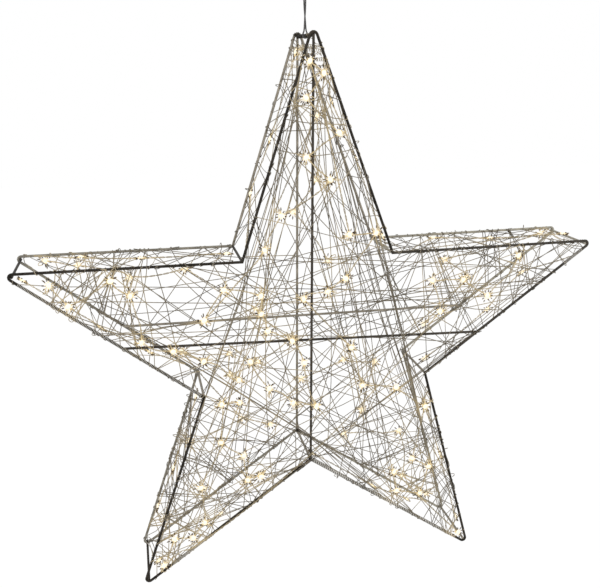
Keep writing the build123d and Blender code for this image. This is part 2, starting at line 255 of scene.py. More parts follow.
def added(name, data):
    """A new object at the origin, in the scene."""
    thing = bpy.data.objects.new(name, data)
    bpy.context.scene.collection.objects.link(thing)
    return thing


def place_camera():
    camera = added("camera", bpy.data.cameras.new("camera"))
    camera.location = CAMERA_PLACE
    camera.rotation_euler = [math.radians(angle) for angle in CAMERA_TURN]
    camera.data.sensor_fit = "HORIZONTAL"
    camera.data.sensor_width = SENSOR_WIDTH
    camera.data.lens = CAMERA_LENS
    camera.data.clip_start = NEAR_CLIP
    bpy.context.scene.camera = camera


place_camera()
bpy.context.scene.view_settings.view_transform = "Standard"

# Finishes
PATCH_DETAIL = 3.0
PATCH_EDGES = (0.35, 0.65)
GRAIN_HEIGHT = 0.0003
# The colour of wire that no painted light of a bead reaches, and how strongly the wire glows with
# the painted light of the beads
UNLIT = (0.0, 0.0, 0.0)
PAINTED_LIGHT_STRENGTH = 1.0


def patina_group():
    """Colour, roughness and grain that vary over a surface."""
    group = bpy.data.node_groups.new("patina", "ShaderNodeTree")
    sockets = [
        ("Tone", "INPUT", "NodeSocketColor"), ("Patch tone", "INPUT", "NodeSocketColor"),
        ("Patch scale", "INPUT", "NodeSocketFloat"), ("Smoothest", "INPUT", "NodeSocketFloat"),
        ("Roughest", "INPUT", "NodeSocketFloat"), ("Grain scale", "INPUT", "NodeSocketFloat"),
        ("Grain depth", "INPUT", "NodeSocketFloat"), ("Color", "OUTPUT", "NodeSocketColor"),
        ("Roughness", "OUTPUT", "NodeSocketFloat"), ("Normal", "OUTPUT", "NodeSocketVector"),
    ]
    for name, way, kind in sockets:
        group.interface.new_socket(name=name, in_out=way, socket_type=kind)
    add, link = group.nodes.new, group.links.new
    given, out = add("NodeGroupInput"), add("NodeGroupOutput")
    place = add("ShaderNodeTexCoord")
    patches, grain = add("ShaderNodeTexNoise"), add("ShaderNodeTexNoise")
    patches.inputs["Detail"].default_value = PATCH_DETAIL
    for noise, scale in ((patches, "Patch scale"), (grain, "Grain scale")):
        link(place.outputs["Object"], noise.inputs["Vector"])
        link(given.outputs[scale], noise.inputs["Scale"])
    spread = add("ShaderNodeMapRange")
    for edge, value in zip(("From Min", "From Max"), PATCH_EDGES):
        spread.inputs[edge].default_value = value
    link(patches.outputs["Fac"], spread.inputs["Value"])
    tones = add("ShaderNodeMix")
    tones.data_type = "RGBA"
    link(spread.outputs["Result"], tones.inputs["Factor"])
    link(given.outputs["Tone"], tones.inputs["A"])
    link(given.outputs["Patch tone"], tones.inputs["B"])
    link(tones.outputs["Result"], out.inputs["Color"])
    rough = add("ShaderNodeMix")
    link(grain.outputs["Fac"], rough.inputs["Factor"])
    link(given.outputs["Smoothest"], rough.inputs["A"])
    link(given.outputs["Roughest"], rough.inputs["B"])
    link(rough.outputs["Result"], out.inputs["Roughness"])
    bump = add("ShaderNodeBump")
    bump.inputs["Distance"].default_value = GRAIN_HEIGHT
    link(given.outputs["Grain depth"], bump.inputs["Strength"])
    link(grain.outputs["Fac"], bump.inputs["Height"])
    link(bump.outputs["Normal"], out.inputs["Normal"])
    return group


PATINA = patina_group()


def new_material(name):
    """A material, its node tree and its main shader."""
    material = bpy.data.materials.new(name)
    material.use_nodes = True
    return material, material.node_tree, material.node_tree.nodes["Principled BSDF"]


def glow_between(tree, shader, share, first, second, strength):
    """Lets a shader glow in a colour between two, by share."""
    tones = tree.nodes.new("ShaderNodeMix")
    tones.data_type = "RGBA"
    tones.inputs["A"].default_value = (*first, 1.0)
    tones.inputs["B"].default_value = (*second, 1.0)
    tree.links.new(share, tones.inputs["Factor"])
    tree.links.new(tones.outputs["Result"], shader.inputs["Emission Color"])
    shader.inputs["Emission Strength"].default_value = strength


def finish(name, tone, patch_tone, *, patch_scale, smoothest, roughest, grain_scale, grain_depth,
           metallic=0.0, painted_light=None, shine=0.5):
    """A material on the patina group. painted_light is the colour of the nearby beads' light,
    painted on it as a glow.
    """
    material, tree, shader = new_material(name)
    patina = tree.nodes.new("ShaderNodeGroup")
    patina.node_tree = PATINA
    values = {"Tone": (*tone, 1.0), "Patch tone": (*patch_tone, 1.0), "Patch scale": patch_scale,
              "Smoothest": smoothest, "Roughest": roughest, "Grain scale": grain_scale,
              "Grain depth": grain_depth}
    for socket, value in values.items():
        patina.inputs[socket].default_value = value
    tree.links.new(patina.outputs["Color"], shader.inputs["Base Color"])
    tree.links.new(patina.outputs["Roughness"], shader.inputs["Roughness"])
    tree.links.new(patina.outputs["Normal"], shader.inputs["Normal"])
    shader.inputs["Metallic"].default_value = metallic
    shader.inputs["Specular IOR Level"].default_value = shine
    # Painted light: the surface glows in the beads' colour where the glow attribute says a bead is
    # near
    if painted_light:
        glow = tree.nodes.new("ShaderNodeAttribute")
        glow.attribute_name = "glow"
        glow_between(tree, shader, glow.outputs["Fac"], UNLIT, painted_light, PAINTED_LIGHT_STRENGTH)
    return material


# The colour of the beads' light, painted on nearby wire
WARM_WHITE = (0.96, 0.75, 0.40)
IRON = {"patch_scale": 90.0, "smoothest": 0.4, "roughest": 0.6, "grain_scale": 1400.0,
        "grain_depth": 0.25, "shine": 0.14}
WOUND = {"patch_scale": 120.0, "smoothest": 0.35, "roughest": 0.55, "grain_scale": 1400.0,
         "grain_depth": 0.25}
METAL_WIRE = {"patch_scale": 45.0, "smoothest": 0.28, "roughest": 0.45, "grain_scale": 2500.0,
              "grain_depth": 0.1, "painted_light": WARM_WHITE}
black_iron = finish("black_iron", (0.010, 0.008, 0.005), (0.034, 0.027, 0.019), **IRON)
# A lighter copy of the black iron, on the front right point, upright and crossbar
lighter_black_iron = finish("lighter_black_iron", (0.032, 0.027, 0.020), (0.062, 0.052, 0.041), **IRON)
wound_iron = finish("wound_iron", (0.165, 0.145, 0.11), (0.31, 0.27, 0.21), **WOUND)
# Lighter and darker copies of wound_iron: painted light on the right side of the frame, painted
# shade on its left side
painted_light_wound_iron = finish("painted_light_wound_iron", (0.25, 0.23, 0.18), (0.39, 0.355, 0.275), **WOUND)
painted_shade_wound_iron = finish("painted_shade_wound_iron", (0.14, 0.125, 0.097), (0.27, 0.245, 0.19), **WOUND)
champagne_wire = finish("champagne_wire", (0.14, 0.12, 0.09), (0.25, 0.215, 0.16), metallic=0.7,
                        **METAL_WIRE)
# A paler copy of the champagne wire for the wire wound round front rods: real wire, whose pale
# colour is a painted glint
wire_with_painted_glint = finish("wire_with_painted_glint", (0.42, 0.40, 0.36), (0.62, 0.59, 0.54), metallic=0.5,
                     **METAL_WIRE)
tan_lead = finish("tan_lead", (0.23, 0.18, 0.10), (0.36, 0.29, 0.17), patch_scale=70.0,
                  smoothest=0.3, roughest=0.45, grain_scale=2500.0, grain_depth=0.1,
                  painted_light=WARM_WHITE)
# Near-black brown wire: the wrapped lead end at the bottom notch, and the painted glare round the
# lights
brown_wrap_and_painted_glare = finish("brown_wrap_and_painted_glare", (0.012, 0.008, 0.005), (0.10, 0.055, 0.022), patch_scale=260.0,
                    smoothest=0.4, roughest=0.6, grain_scale=2500.0, grain_depth=0.1, shine=0.25)
grey_thread = finish("grey_thread", (0.045, 0.043, 0.042), (0.10, 0.095, 0.09), patch_scale=700.0,
                     smoothest=0.75, roughest=0.95, grain_scale=3000.0, grain_depth=0.6)

# Colours and strength of a lit bead
BEAD_MIDDLE = (1.0, 0.93, 0.75)
BEAD_RIM = (1.0, 0.80, 0.47)
BEAD_BODY = (0.35, 0.3, 0.2, 1.0)
BEAD_GLOW = 0.95
BEAD_ROUGHNESS = 0.15
RIM_BLEND = 0.4


def lit_resin():
    """Clear resin lit from inside: warm at the rim, nearly white in the middle."""
    material, tree, shader = new_material("lit_resin")
    facing = tree.nodes.new("ShaderNodeLayerWeight")
    facing.inputs["Blend"].default_value = RIM_BLEND
    glow_between(tree, shader, facing.outputs["Facing"], BEAD_MIDDLE, BEAD_RIM, BEAD_GLOW)
    shader.inputs["Base Color"].default_value = BEAD_BODY
    shader.inputs["Roughness"].default_value = BEAD_ROUGHNESS
    return material


resin = lit_resin()


# The frame's places, in millimetres, right and up
def strut_place(index):
    low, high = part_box("strut_" + CORNERS[index % len(CORNERS)])
    return Vector(((low.x + high.x) / 2, (low.z + high.z) / 2)) / MM


PLACES = [strut_place(i) for i in range(len(CORNERS))]
rod_low, rod_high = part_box("front_point_top")
strut_low, strut_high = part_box("strut_top")
ROD_RADIUS = (rod_high.y - rod_low.y) / 2 / MM
STRUT_RADIUS = (strut_high.x - strut_low.x) / 2 / MM
STRUT_SEAT = ROD_RADIUS + STRUT_RADIUS - WELD_DEPTH
HALF_DEPTH = -(rod_high.y + rod_low.y) / 2 / MM


def bend_radius(index):
    return TOP_BEND if index % len(CORNERS) == 0 else TIP_BEND


def leg_end(tip_index, notch_index):
    """Where a straight leg meets the bend of its tip."""
    tip, notch = PLACES[tip_index], PLACES[notch_index]
    other = PLACES[(2 * tip_index - notch_index) % len(CORNERS)]
    outward = (tip - (notch + other) / 2).normalized()
    centre = tip - outward * (bend_radius(tip_index) - STRUT_SEAT)
    run = centre - notch
    swing = math.asin(bend_radius(tip_index) / run.length)
    reach = math.sqrt(run.length**2 - bend_radius(tip_index)**2)
    ends = [notch + (Matrix.Rotation(turn, 2) @ run).normalized() * reach
            for turn in (-swing, swing)]
    return max(ends, key=lambda end: (end - other).length)


def leg(index):
    """The straight rod between corner index and the next one."""
    after = (index + 1) % len(CORNERS)
    if index % 2:
        return PLACES[index], leg_end(after, index)
    return leg_end(index, after), PLACES[after]


LEGS = [leg(i) for i in range(len(CORNERS))]
OUTLINE = [end for rod in LEGS for end in rod]


def leg_way(index):
    start, end = LEGS[index]
    return (end - start).normalized()


def leg_outward(index):
    way = leg_way(index)
    return Vector((-way.y, way.x))


def inside(p):
    found = False
    for here, there in zip(OUTLINE, OUTLINE[1:] + OUTLINE[:1]):
        if (here.y > p.y) != (there.y > p.y):
            if p.x < here.x + (there.x - here.x) * (p.y - here.y) / (there.y - here.y):
                found = not found
    return found


def area_of(p):
    """The point of the star that p lies in, or the middle."""
    for tip in range(0, len(CORNERS), 2):
        a, b = PLACES[tip - 1], PLACES[(tip + 1) % len(CORNERS)]
        side = (b - a).orthogonal()
        if side.dot(PLACES[tip] - a) * side.dot(p - a) > 0:
            return CORNERS[tip]
    return "middle"


def solid(p, depth):
    """A point of the flat star at a depth, as a place in space."""
    return Vector((p.x, depth, p.y))


def flat(v):
    return Vector((v.x, v.z))


# Lights: their places come from the drops in the frame
def light_places(node):
    """The middle of each drop. The exact sum is the same whatever order the corners come in."""
    mesh = bmesh.new()
    mesh.from_mesh(nodes[node].data)
    bmesh.ops.remove_doubles(mesh, verts=mesh.verts, dist=SEAM * MM)
    left = set(mesh.verts)
    places = []
    while left:
        island = {left.pop()}
        edge = set(island)
        while edge:
            edge = {e.other_vert(v) for v in edge for e in v.link_edges} & left
            left -= edge
            island |= edge
        sums = [math.fsum(axis) for axis in zip(*(v.co for v in island))]
        places.append(Vector(sums) / len(island) / MM)
    mesh.free()
    return sorted(places, key=lambda p: (round(p.x, 1), round(p.z, 1), round(p.y, 1)))


LIGHTS = {face: light_places(face + "_lights") for face in ("front", "back", "side")}
near_light = kdtree.KDTree(sum(len(places) for places in LIGHTS.values()))
for number, p in enumerate(p for places in LIGHTS.values() for p in places):
    near_light.insert(p, number)
near_light.balance()


# Winding
def held(share, low=FIRST_SHARE, high=LAST_SHARE):
    return min(high, max(low, share))


def kinked(rng, start, end, sideways, lift, slack=1.0):
    """A run of wire that bends a little here and there, as hand-wound wire does."""
    length = (end - start).length
    kinks = [(0.0, 0.0, 0.0)]
    for _ in range(rng.randint(1, 2 + int(length / KINK_LENGTH))):
        kinks.append((rng.uniform(*KINK_SHARES), rng.gauss(0, KINK_ASIDE) * slack,
                      rng.gauss(0, KINK_RISE)))
    kinks.append((1.0, 0.0, 0.0))
    kinks.sort()
    bow = rng.gauss(0, BOW_SHARE) * length * slack
    count = max(FEWEST_STEPS, int(length / STEP_LENGTH))
    points = []
    for k in range(count + 1):
        t = k / count
        before = max(kink for kink in kinks if kink[0] <= t)
        after = min((kink for kink in kinks if kink[0] > t), default=kinks[-1])
        share = (t - before[0]) / (after[0] - before[0]) if after[0] > before[0] else 0.0
        # The bow is a flat curve, widest halfway
        aside = before[1] + (after[1] - before[1]) * share + bow * 4 * t * (1 - t)
        rise = before[2] + (after[2] - before[2]) * share
        points.append(start.lerp(end, t) + sideways * aside + lift * rise)
    return points


def hook(rng, rod_point, rod_way, away, lift, sweep):
    """The wire's turn round a rod, from where the run meets it through sweep."""
    reach = ROD_RADIUS + WINDING_WIRE / 2 + rng.uniform(0.0, HOOK_PLAY)
    loose = rng.uniform(*LOOSE_REACH) if rng.random() < LOOSE_SHARE else 0.0
    pitch = rng.uniform(*HOOK_PITCH) * rng.choice((-1, 1))
    points = []
    for k in range(HOOK_STEPS):
        turn = math.pi / 2 - sweep * k / (HOOK_STEPS - 1)
        out = reach + loose * max(0.0, math.cos(turn))
        points.append(rod_point + away * out * math.cos(turn) + lift * reach * math.sin(turn)
                      + rod_way * pitch * k)
    return points


def hooked_run(rng, start, end, lift, sweep):
    """A run between two rods, each given by its point, way and the side away from the run."""
    first = hook(rng, *start, lift, sweep)
    last = hook(rng, *end, lift, sweep)
    along = (last[0] - first[0]).normalized()
    for slack in SLACK_TRIED:
        run = kinked(rng, first[0], last[0], along.cross(lift), lift, slack)
        if not lift.y or all(inside(flat(p)) for p in run[1:-1]):
            break
    return first[:0:-1] + run + last[1:]


def over_or_under(rng, lift, short_sweep):
    """The side on which a run passes the rods, and how far it goes round them."""
    over = -lift if rng.random() < BEHIND_SHARE else lift
    return over, LONG_SWEEP if rng.random() < LONG_SWEEP_SHARE else short_sweep


def rod_anchor(index, share, depth):
    start, end = LEGS[index]
    way, out = leg_way(index), leg_outward(index)
    return solid(start.lerp(end, share), depth), solid(way, 0), solid(out, 0)


def split_by_area(points, areas):
    """Hands each stretch of a run to the area of the star that it lies in."""
    stretch, area = [points[0]], None
    for here, there in zip(points, points[1:]):
        now = area_of(flat((here + there) / 2))
        if area not in (None, now):
            areas[area].append(stretch)
            stretch = [here]
        area = now
        stretch.append(there)
    areas[area].append(stretch)


def star_area():
    total = 0.0
    for here, there in zip(OUTLINE, OUTLINE[1:] + OUTLINE[:1]):
        total += here.x * there.y - there.x * here.y
    return abs(total) / 2


def bare(index, share):
    """Whether a place on a rod is so near its tip that no wire is wound there."""
    tip, gone = (index, share) if index % 2 == 0 else (index + 1, 1 - share)
    return gone < BARE_SHARE.get(CORNERS[tip % len(CORNERS)], 0.0)


def likely_run(rng, in_tip):
    """Two places on the rods, joined by a straight run that stays inside the star."""
    while True:
        if in_tip:
            i = CORNERS.index(rng.choices(list(TIP_WEIGHTS), list(TIP_WEIGHTS.values()))[0])
            j = i - 1
            u = rng.betavariate(*TIP_PULL)
            v = held(1 - u + rng.gauss(0, TIP_SCATTER))
        else:
            i, j = rng.sample(range(len(LEGS)), 2)
            u, v = (rng.uniform(FIRST_SHARE, LAST_SHARE) for _ in range(2))
        p, q = LEGS[i][0].lerp(LEGS[i][1], u), LEGS[j][0].lerp(LEGS[j][1], v)
        if bare(i, u) or bare(j, v) or (q - p).length <= SHORTEST_RUN:
            continue
        if all(inside(p.lerp(q, t / RUN_TESTS)) for t in range(1, RUN_TESTS)):
            return i, u, j, v, p, q


def cells_under(p, q):
    count = 2 + int((q - p).length / CELL_SIZE * 2)
    steps = [p.lerp(q, k / count) for k in range(count + 1)]
    return {(math.floor(s.x / CELL_SIZE), math.floor(s.y / CELL_SIZE)) for s in steps}


def face_runs(rng, side):
    """Runs from rod to rod. Each goes where the wire still lies thinnest, out of a few places."""
    areas = {name: [] for name in CORNERS[::2] + ["middle"]}
    lift = Vector((0, side, 0))
    whole = FACE_WIRE_PER_AREA * star_area()
    wanted = whole
    thin = Vector(THIN_PLACE)
    wound = {(x, z): THIN_WEIGHT for x in THIN_COLUMNS for z in THIN_ROWS
             if (Vector((x + 0.5, z + 0.5)) * CELL_SIZE - thin).length < THIN_REACH}

    def wire_under(run):
        cells = cells_under(*run[-2:])
        return sum(wound.get(cell, 0) for cell in cells) / len(cells)

    while wanted > 0:
        in_tip = wanted < whole * TIP_WIRE_SHARE
        tried = (likely_run(rng, in_tip) for _ in range(PLACES_TRIED))
        i, u, j, v, p, q = min(tried, key=wire_under)
        depth = side * HALF_DEPTH
        over, sweep = over_or_under(rng, lift, FACE_SWEEP)
        repeats = rng.randint(*REPEATS) if rng.random() < REPEAT_SHARE else 1
        for _ in range(repeats):
            run = hooked_run(rng, rod_anchor(i, u, depth), rod_anchor(j, v, depth), over, sweep)
            split_by_area(run, areas)
            wanted -= (q - p).length
            for cell in cells_under(p, q):
                wound[cell] = wound.get(cell, 0) + 1
            u, v = (held(share + rng.gauss(0, REPEAT_SCATTER)) for share in (u, v))
    return areas


def wall_runs(rng, index):
    """Runs from the front rod to the back rod of one side wall, clear of the cord at the top."""
    start, end = LEGS[index]
    length = (end - start).length
    wanted = WALL_WIRE_PER_AREA * THIN_WALLS.get(CORNERS[index], 1.0) * length * 2 * HALF_DEPTH
    lift = solid(leg_outward(index), 0)
    lowest = CORD_SHARE if index == 0 else FIRST_SHARE
    highest = 1 - CORD_SHARE if index == len(LEGS) - 1 else LAST_SHARE
    runs = []
    while wanted > 0:
        u = rng.uniform(lowest, highest)
        v = held(u + rng.gauss(0, WALL_SCATTER), lowest, highest)
        ends = []
        for share, side in ((u, -1), (v, 1)):
            point, way, _ = rod_anchor(index, share, side * HALF_DEPTH)
            ends.append((point, way, Vector((0, side, 0))))
        over, sweep = over_or_under(rng, lift, WALL_SWEEP)
        runs.append(hooked_run(rng, *ends, over, sweep))
        wanted -= math.hypot((v - u) * length, 2 * HALF_DEPTH)
    return runs


def tube_curve(name, diameter, roundness):
    """A curve that makes a tube of each line in it, still without lines."""
    curve = bpy.data.curves.new(name, "CURVE")
    curve.dimensions = "3D"
    curve.bevel_depth = diameter / 2 * MM
    curve.bevel_resolution = roundness
    curve.use_fill_caps = True
    return curve


def add_spline(curve, kind, places):
    """A line through places in metres."""
    spline = curve.splines.new(kind)
    spline.points.add(len(places) - 1)
    for point, place in zip(spline.points, places):
        point.co = (*place, 1.0)
    return spline


def strands_piece(name, runs, diameter, material):
    """One mesh of thin round strands along runs, with how near each place is to a light, which
    sets how strongly the light of the beads is painted on it.
    """
    curve = tube_curve(name, diameter, WIRE_ROUNDNESS)
    for points in runs:
        depths = [max(-OUTERMOST, min(OUTERMOST, p.y)) for p in points]
        add_spline(curve, "POLY", [(p.x * MM, depth * MM, p.z * MM)
                                   for p, depth in zip(points, depths)])
    maker = added(name + "_line", curve)
    mesh = bpy.data.meshes.new_from_object(maker)
    bpy.data.objects.remove(maker)
    bpy.data.curves.remove(curve)
    mesh.name = name
    mesh.shade_smooth()
    # Painted light from the beads: strong close to a bead and fainter further out
    glow = mesh.attributes.new("glow", "FLOAT", "POINT")
    for v in mesh.vertices:
        gap = near_light.find(v.co / MM)[2]
        core, wide_light = math.exp(-(gap / GLOW_REACH) ** 2), math.exp(-(gap / WIDE_LIGHT_REACH) ** 2)
        glow.data[v.index].value = max(core, WIDE_LIGHT_SHARE * wide_light)
    mesh.materials.clear()
    mesh.materials.append(material)
    piece = added(name, mesh)
    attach(piece, "star")
    return piece


def winding_piece(node, runs):
    piece = strands_piece(node + "_wire", runs, WINDING_WIRE, champagne_wire)
    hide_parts(node)


for number, (face, side) in enumerate(FACES):
    areas = face_runs(random.Random(FACE_SEED + number), side)
    for area, runs in areas.items():
        winding_piece(f"{face}_winding_{area}", runs)

for index, corner in enumerate(CORNERS):
    runs = wall_runs(random.Random(WALL_SEED + index), index)
    winding_piece(f"side_winding_{corner}_to_{CORNERS[(index + 1) % len(CORNERS)]}", runs)


# Light strings: two thin leads twisted together, from each light to the next
def nearest_chain(places, allowed):
    """Pairs along a chain of lights. Of equally near ones, the first in places comes next."""
    left = list(places)
    chain = [left.pop(0)]
    pairs = []
    while left:
        after = min(left, key=lambda p: round((p - chain[-1]).length, DISTANCE_DIGITS))
        left.remove(after)
        if allowed(chain[-1], after):
            pairs.append((chain[-1], after))
        chain.append(after)
    return pairs


def twisted_pair(rng, start, end, lift):
    length = (end - start).length
    along = (end - start).normalized()
    across = along.cross(lift).normalized()
    middle = kinked(rng, start, end, across, lift)
    count = max(LEAD_STEPS, int(length / (LEAD_PITCH / LEAD_STEPS)))
    spread = LEAD_SPACING / 2
    strands = []
    phase = rng.uniform(0, math.tau)
    for offset in (0, math.pi):
        points = []
        for k in range(count + 1):
            t = k / count
            place = t * (len(middle) - 1)
            low = min(int(place), len(middle) - 2)
            here = middle[low].lerp(middle[low + 1], place - low)
            turn = phase + offset + math.tau * t * length / LEAD_PITCH
            points.append(here + across * spread * math.cos(turn)
                          + lift * spread * math.sin(turn))
        strands.append(points)
    return strands


def spare_curl(rng, place, lift):
    """A little slack loop of lead that comes out of a light and goes back to it."""
    way = Matrix.Rotation(rng.uniform(0, math.tau), 3, lift) @ lift.orthogonal()
    across = lift.cross(way)
    centre = place + way * rng.uniform(*CURL_OUT) - lift * CURL_DROP
    long, narrow = rng.uniform(*CURL_LONG), rng.uniform(*CURL_NARROW)
    first, sweep = rng.uniform(0, math.tau), rng.uniform(*CURL_SWEEP)
    points = []
    for k in range(CURL_STEPS + 1):
        spin = first + sweep * k / CURL_STEPS
        points.append(centre + way * long * math.cos(spin) + across * narrow * math.sin(spin)
                      + lift * CURL_RISE * k)
    root = place - lift * CURL_DROP
    return [root] + points + [root]


def lead_lengths(rng, face, side):
    places = LIGHTS[face]
    lift = Vector((0, side, 0))

    def stays_in(p, q):
        return all(inside(flat(p.lerp(q, t / LEAD_TESTS))) for t in range(LEAD_TESTS + 1))

    strands = []
    for start, end in nearest_chain(places, stays_in):
        strands += twisted_pair(rng, start - lift * LEAD_DROP, end - lift * LEAD_DROP, lift)
    curls = [spare_curl(rng, place, lift) for place in places for _ in range(CURLS_AT_LIGHT)]
    return strands + [curl for curl in curls if all(inside(flat(p)) for p in curl)]


def wall_of(place):
    """The side wall that a light lies on, and how far along it."""
    found = []
    for index, (start, end) in enumerate(LEGS):
        share = (flat(place) - start).dot(leg_way(index)) / (end - start).length
        if -WALL_MARGIN < share < 1 + WALL_MARGIN:
            found.append((abs((flat(place) - start).dot(leg_outward(index))), index, share))
    return min(found)[1:]


def wall_leads(rng):
    """On each side wall, leads from a rod to the first light and on to the others."""
    strands = []
    for index in range(len(LEGS)):
        out = solid(leg_outward(index), 0)
        stops = sorted((wall_of(place)[1], place) for place in LIGHTS["side"]
                       if wall_of(place)[0] == index)
        stops = [place - out * LEAD_DROP for _, place in stops]
        side = rng.choice((-1, 1))
        if stops:
            share = rng.uniform(*WALL_LEAD_STARTS)
            stops.insert(0, rod_anchor(index, share, side * HALF_DEPTH)[0])
        for start, end in zip(stops, stops[1:]):
            strands += twisted_pair(rng, start, end, out)
    return strands


def crumpled(rng, start, end, across, out):
    """A lead that runs in small uneven loops from one rod to another."""
    along = (end - start).normalized()
    count = int((end - start).length / CRUMPLE_STEP)
    spin, reach = rng.uniform(0, math.tau), CRUMPLE_START
    points = []
    for k in range(count + 1):
        t = k / count
        spin += rng.uniform(*CRUMPLE_SPIN)
        reach = held(reach + rng.gauss(0, CRUMPLE_DRIFT), *CRUMPLE_REACH)
        wide = reach * min(1.0, CRUMPLE_FADE * t, CRUMPLE_FADE * (1 - t))
        points.append(start.lerp(end, t) + along * wide * math.cos(spin)
                      + across * wide * math.sin(spin)
                      + out * rng.gauss(0, CRUMPLE_LIFT) * min(1.0, wide))
    return points


def slack_at_top(rng):
    """The ends of the leads, crumpled together under the top of the frame."""
    strands = []
    for index in (0, len(LEGS) - 1):
        start, end = LEGS[index]
        way, out = solid(leg_way(index), 0), solid(leg_outward(index), 0)
        for k in range(CRUMPLES):
            ends = []
            for side in (-1, 1):
                gone = TOP_CLEARANCE + CRUMPLE_SPACING * k * k + rng.uniform(0, CRUMPLE_SCATTER)
                share = gone / (end - start).length
                share = share if index == 0 else 1 - share
                ends.append(solid(start.lerp(end, share), side * HALF_DEPTH))
            strands.append(crumpled(rng, *ends, way, out))
    return strands


for number, (face, side) in enumerate(FACES):
    strands = lead_lengths(random.Random(STRING_SEED + number), face, side)
    strands_piece(f"{face}_light_string", strands, LEAD_WIRE, tan_lead)
strands_piece("side_light_string", wall_leads(random.Random(SIDE_STRING_SEED)), LEAD_WIRE,
              tan_lead)
strands_piece("slack_leads", slack_at_top(random.Random(SLACK_SEED)), SLACK_WIRE, tan_lead)


# Lights
def outward_of(place, face):
    if face != "side":
        return Vector((0, dict(FACES)[face], 0))
    return solid(leg_outward(wall_of(place)[0]), 0)


def painted_glare_coils(face, rng):
    """At each light, painted glare: a star of lead ends that stick out, with a few tight turns
    round each.
    """
    coils, ends = [], []
    for place in LIGHTS[face]:
        out = outward_of(place, face)
        first = rng.uniform(0, math.tau)
        ways = rng.randint(*WRAP_WAYS)
        for k in range(ways):
            turn = first + math.tau * k / ways + rng.gauss(0, WRAP_SCATTER)
            way = (Matrix.Rotation(turn, 3, out) @ out.orthogonal()).normalized()
            across = out.cross(way)
            start, length = rng.uniform(*WRAP_START), rng.uniform(*WRAP_LENGTH)
            radius, pitch = rng.uniform(*WRAP_RADIUS), rng.uniform(*WRAP_PITCH)
            count = max(WRAP_STEPS, int(length / pitch * WRAP_STEPS))
            coil = []
            for m in range(count + 1):
                t = m / count
                spin = math.tau * t * length / pitch
                reach = radius * (1 - WRAP_TAPER * t)
                coil.append(place + way * (start + length * t) + across * reach * math.cos(spin)
                            + out * reach * math.sin(spin) - out * WRAP_DROP)
            coils.append(coil)
            ends.append([place + way * reach - out * WRAP_DROP
                         for reach in (GLARE_SPOKE_START, start + length + GLARE_SPOKE_PAST)])
    strands_piece(face + "_painted_glare_coils", coils, WRAP_WIRE, brown_wrap_and_painted_glare)
    strands_piece(face + "_painted_glare_spokes", ends, SLACK_WIRE, tan_lead)


for number, face in enumerate(LIGHTS):
    painted_glare_coils(face, random.Random(WRAP_SEED + number))


def beads(face, rng):
    """Small beads of resin, lying on the winding."""
    mesh = bmesh.new()
    for place in LIGHTS[face]:
        out = outward_of(place, face)
        way = (Matrix.Rotation(rng.uniform(0, math.pi), 3, out) @ out.orthogonal()).normalized()
        axes = Matrix((way, out.cross(way), out)).transposed().to_4x4()
        size = rng.uniform(*BEAD_SIZES)
        shape = Matrix.Diagonal((BEAD_LENGTH / 2 * size, BEAD_WIDTH / 2 * size,
                                 BEAD_HEIGHT / 2, 1))
        spot = Matrix.Translation(place * MM) @ axes @ Matrix.Scale(MM, 4) @ shape
        bmesh.ops.create_uvsphere(mesh, u_segments=BEAD_SEGMENTS, v_segments=BEAD_RINGS,
                                  radius=1.0, matrix=spot)
    for part in mesh.faces:
        part.smooth = True
    data = bpy.data.meshes.new(face + "_beads")
    mesh.to_mesh(data)
    mesh.free()
    data.materials.append(resin)
    piece = added(face + "_beads", data)
    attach(piece, "star")
    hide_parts(face + "_lights")


for number, face in enumerate(LIGHTS):
    beads(face, random.Random(BEAD_SEED + number))


# Bindings: wire wound tightly over the top of the frame, over two struts and along rods
def bound(line, reach, turns, first_turn=0.0):
    """A wire wound round a line of points, reach from it."""
    steps = [(there - here).length for here, there in zip(line, line[1:])]
    count = int(turns * TURN_STEPS)
    coil = []
    for k in range(count + 1):
        gone, part = sum(steps) * k / count, 0
        while part < len(steps) - 1 and gone > steps[part]:
            gone -= steps[part]
            part += 1
        along = (line[part + 1] - line[part]).normalized()
        across = along.orthogonal().normalized()
        spin = math.tau * (first_turn + turns * k / count)
        coil.append(line[part].lerp(line[part + 1], min(1.0, gone / steps[part]))
                    + Matrix.Rotation(spin, 3, along) @ across * reach)
    return coil


def crown_line(side):
    """The middle of the bent rod at the top of a star."""
    centre = PLACES[0] + Vector((0, STRUT_SEAT - bend_radius(0)))
    turns = [math.radians(CROWN_FIRST_ANGLE + CROWN_SWEEP * k / CROWN_STEPS)
             for k in range(CROWN_STEPS + 1)]
    return [solid(centre + Vector((math.cos(t), math.sin(t))) * bend_radius(0), side * HALF_DEPTH)
            for t in turns]


def rod_stretch(index, first, last):
    """Two points on the straight part of a front rod."""
    start, end = LEGS[index]
    return [solid(start.lerp(end, share), -HALF_DEPTH) for share in (first, last)]


wound_ends = []
for side in (-1, 1):
    if side > 0:
        wound_ends.append(bound(crown_line(side), ROD_RADIUS + BINDING_WIRE / 2, CROWN_TURNS))
    for corner, first, turns in (
            (PLACES[0], TOP_BINDING_START, TOP_BINDING_TURNS),
            (PLACES[BOTTOM], HALF_DEPTH - BOTTOM_BINDING_LENGTH, BOTTOM_BINDING_TURNS)):
        strut = [solid(corner, side * depth) for depth in (first, HALF_DEPTH - BINDING_END)]
        wound_ends.append(bound(strut, STRUT_RADIUS + BINDING_WIRE / 2, turns))
strands_piece("frame_bindings", wound_ends, BINDING_WIRE, black_iron)
lump = bound(rod_stretch(BOTTOM, *LUMP_SHARES), ROD_RADIUS + LUMP_WIRE / 2, LUMP_TURNS)
strands_piece("notch_binding", [lump], LUMP_WIRE, black_iron)
wrapped_end = bound(rod_stretch(BOTTOM, *NOTCH_LEAD_SHARES), ROD_RADIUS + WRAP_WIRE / 2,
                    NOTCH_LEAD_TURNS)
